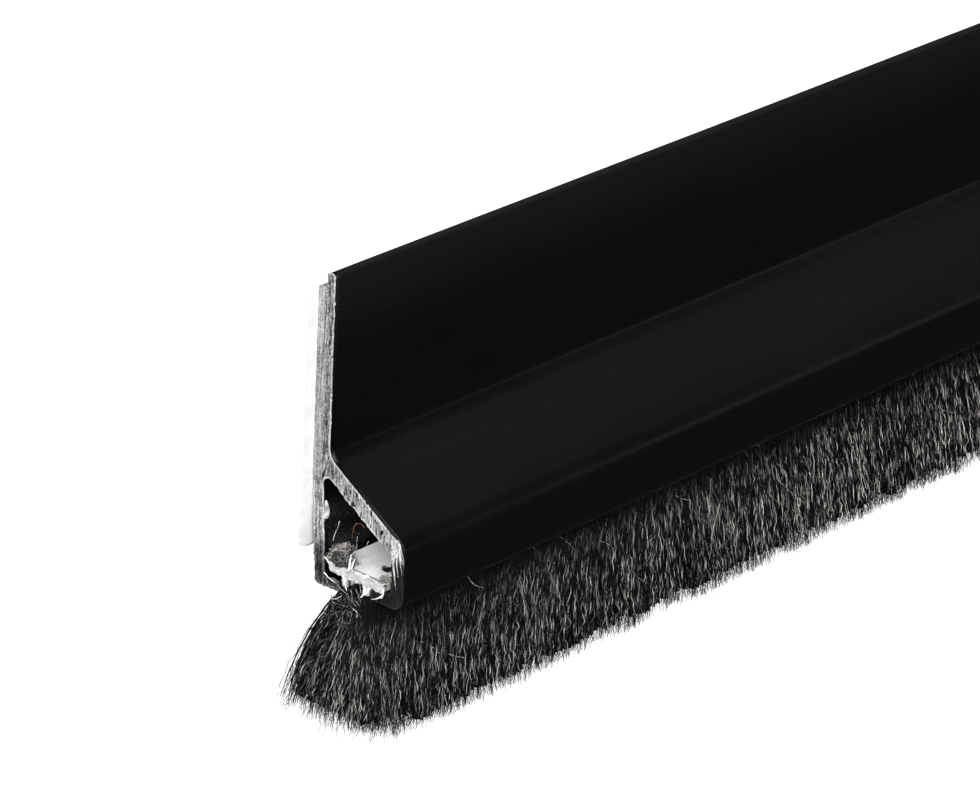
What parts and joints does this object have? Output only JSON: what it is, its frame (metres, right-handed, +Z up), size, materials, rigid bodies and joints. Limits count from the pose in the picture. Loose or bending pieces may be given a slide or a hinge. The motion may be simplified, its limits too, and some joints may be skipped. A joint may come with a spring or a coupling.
{
  "type": "threshold draught strip",
  "caption": "Extruded carrier with a sloping hood and a brush beneath it, stuck along the bottom of a door to close the gap at the threshold.",
  "frame": {"origin": "middle of the tape's height and length, on the liner's flat back face", "axes": "+X along the strip, +Y out of the back face towards the door, +Z up, brush down"},
  "size_m": [0.924, 0.0116, 0.0396],
  "materials": {
    "black_pvc": "black extruded PVC, satin, faint drawn lines; cut ends grey and frosted",
    "grey_foam": "dark grey closed-cell foam, speckled where cut",
    "white_liner": "white release liner, matt, slightly creased",
    "white_backing": "white polypropylene, smooth",
    "charcoal_pile": "crimped charcoal filaments with pale warm-grey glints"
  },
  "bodies": {
    "root": {"carrier_profile": "black_pvc", "adhesive_foam_tape": "grey_foam", "release_liner": "white_liner", "brush_backing": "white_backing", "brush_pile": "charcoal_pile"}
  },
  "joints": []
}
